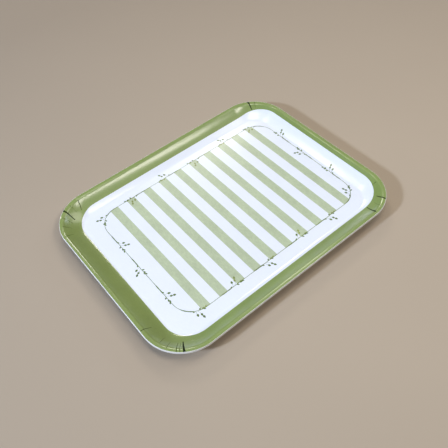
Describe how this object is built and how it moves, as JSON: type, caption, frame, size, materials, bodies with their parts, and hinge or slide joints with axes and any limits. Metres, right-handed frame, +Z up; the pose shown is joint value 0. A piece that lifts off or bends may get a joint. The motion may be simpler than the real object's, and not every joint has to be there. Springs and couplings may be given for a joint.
{
  "type": "serving tray",
  "caption": "Rectangular pressed laminate serving tray with rounded corners, a flared green rim and a white floor printed with green stripes inside a leafy vine frame.",
  "frame": {"origin": "centre of the tray's outline, on the surface that it stands on", "axes": "+X along the long side, +Y along the short side, +Z up out of the open face"},
  "size_m": [0.43, 0.33, 0.0204],
  "materials": {
    "clear_melamine": "gloss",
    "printed_decor": "gloss",
    "veneer_along": "raw",
    "veneer_across": "raw",
    "white_melamine": "satin",
    "white_edge_lacquer": "satin"
  },
  "bodies": {
    "root": {"clear_overlay": "clear_melamine", "decor_sheet": "printed_decor", "face_veneer": "veneer_along", "upper_cross_veneer": "veneer_across", "core_veneer": "veneer_along", "lower_cross_veneer": "veneer_across", "bottom_veneer": "veneer_along", "backing_sheet": "white_melamine", "edge_seal": "white_edge_lacquer"}
  },
  "joints": []
}
